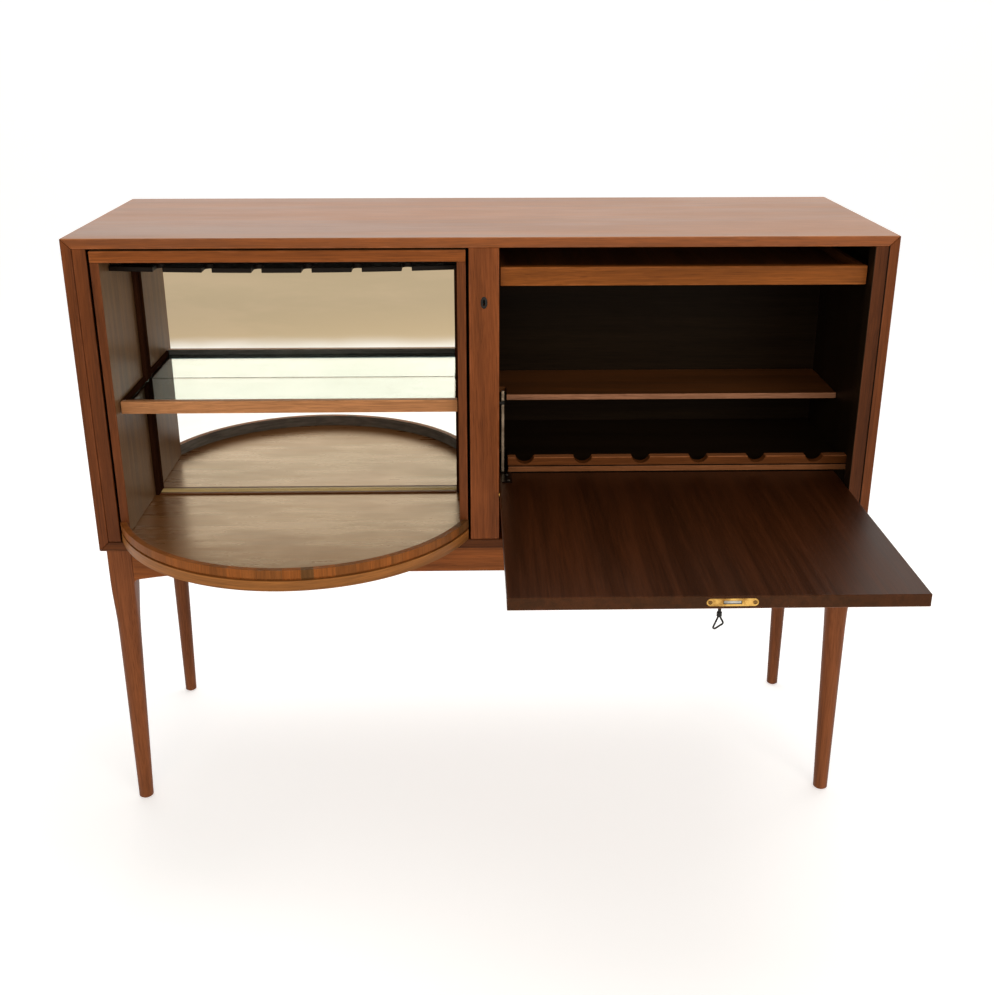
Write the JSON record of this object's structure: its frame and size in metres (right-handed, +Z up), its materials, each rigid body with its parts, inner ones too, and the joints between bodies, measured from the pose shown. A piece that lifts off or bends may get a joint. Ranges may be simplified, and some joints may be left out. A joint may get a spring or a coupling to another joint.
{
  "type": "bar cabinet",
  "caption": "Walnut bar cabinet on tapered legs: a revolving mirrored bar with a bowed, rimmed floor beside a drop flap, bottle rack and tray.",
  "frame": {"origin": "on the floor, under the middle of the whole object's width and depth with the flap open", "axes": "+X to the right along the front, +Y to the back, +Z up"},
  "size_m": [1.3, 0.8422, 1.027],
  "materials": {
    "walnut": "satin walnut veneer",
    "walnut_top": "satin walnut veneer, paler on the top",
    "leg_walnut": "satin solid walnut",
    "dark_veneer": "dark satin veneer",
    "maple": "pale satin wood",
    "mirror": "silvered glass",
    "glass": "clear polished glass with a green tint",
    "brass": "worn brass",
    "steel": "dull steel",
    "black_iron": "blackened iron"
  },
  "bodies": {
    "carcass": {"top_panel": "walnut_top", "bottom_panel": "walnut", "left_side_panel": "walnut", "right_side_panel": "walnut", "back_panel": "dark_veneer", "bay_back": "dark_veneer", "partition": "dark_veneer", "left_post": "walnut", "centre_post": "walnut", "right_post": "walnut", "front_left_leg": "leg_walnut", "front_right_leg": "leg_walnut", "back_left_leg": "leg_walnut", "back_right_leg": "leg_walnut", "front_apron": "leg_walnut", "back_apron": "leg_walnut", "left_apron": "leg_walnut", "right_apron": "leg_walnut", "bottle_shelf": "dark_veneer", "rack_floor": "walnut", "rack_riser": "dark_veneer", "bottle_rail": "walnut", "left_runner": "dark_veneer", "right_runner": "dark_veneer", "stay_peg": "steel", "lower_pivot": "steel", "upper_pivot": "steel", "pivot_washer": "brass", "bar_keyhole_plate": "black_iron"},
    "bar": {"bar_base": "maple", "bar_lip": "walnut", "bar_left_side": "walnut", "bar_right_side": "walnut", "bar_top": "walnut", "bar_closed_front": "walnut", "mirror": "mirror", "mirror_backing": "maple", "left_mirror_batten": "dark_veneer", "right_mirror_batten": "dark_veneer", "mirror_bead": "maple", "glass_shelf": "glass", "shelf_strip": "walnut", "left_bearer": "dark_veneer", "right_bearer": "dark_veneer", "stem_rack": "dark_veneer", "left_rack_hanger": "dark_veneer", "right_rack_hanger": "dark_veneer"},
    "flap": {"flap_panel": "dark_veneer", "left_flap_pin": "steel", "right_flap_pin": "steel", "flap_lock_plate": "brass", "key_plate": "black_iron", "flap_stay": "steel"},
    "tray": {"tray_front": "walnut", "tray_box": "dark_veneer"},
    "key": {"flap_key": "black_iron"},
    "bolt": {"flap_bolt": "brass"},
    "bar_bolt": {"bar_bolt": "steel"}
  },
  "joints": [
    {"name": "bar_turn", "type": "hinge", "parent": "carcass", "child": "bar", "pos_m": [-0.31768, 0.09643, 0.519], "axis": [0, 0, 1], "range_deg": [0, 180]},
    {"name": "flap_hinge", "type": "hinge", "parent": "carcass", "child": "flap", "pos_m": [0.31898, -0.00875, 0.597], "axis": [1, 0, 0], "range_deg": [-90, 0]},
    {"name": "tray_slide", "type": "slide", "parent": "carcass", "child": "tray", "axis": [0, -1, 0], "range_m": [0, 0.22]},
    {"name": "flap_key_turn", "type": "hinge", "parent": "flap", "child": "key", "pos_m": [0.32298, -0.40305, 0.5873], "axis": [0, 0, 1], "range_deg": [0, 90]},
    {"name": "flap_bolt_slide", "type": "slide", "parent": "flap", "child": "bolt", "axis": [0, -1, 0], "range_m": [0, 0.009]},
    {"name": "bar_bolt_slide", "type": "slide", "parent": "carcass", "child": "bar_bolt", "axis": [-1, 0, 0], "range_m": [0, 0.01926]}
  ],
  "couplings": [
    {"joint": "flap_key_turn", "follows": "flap_bolt_slide", "rad_per_m": 174.5}
  ]
}
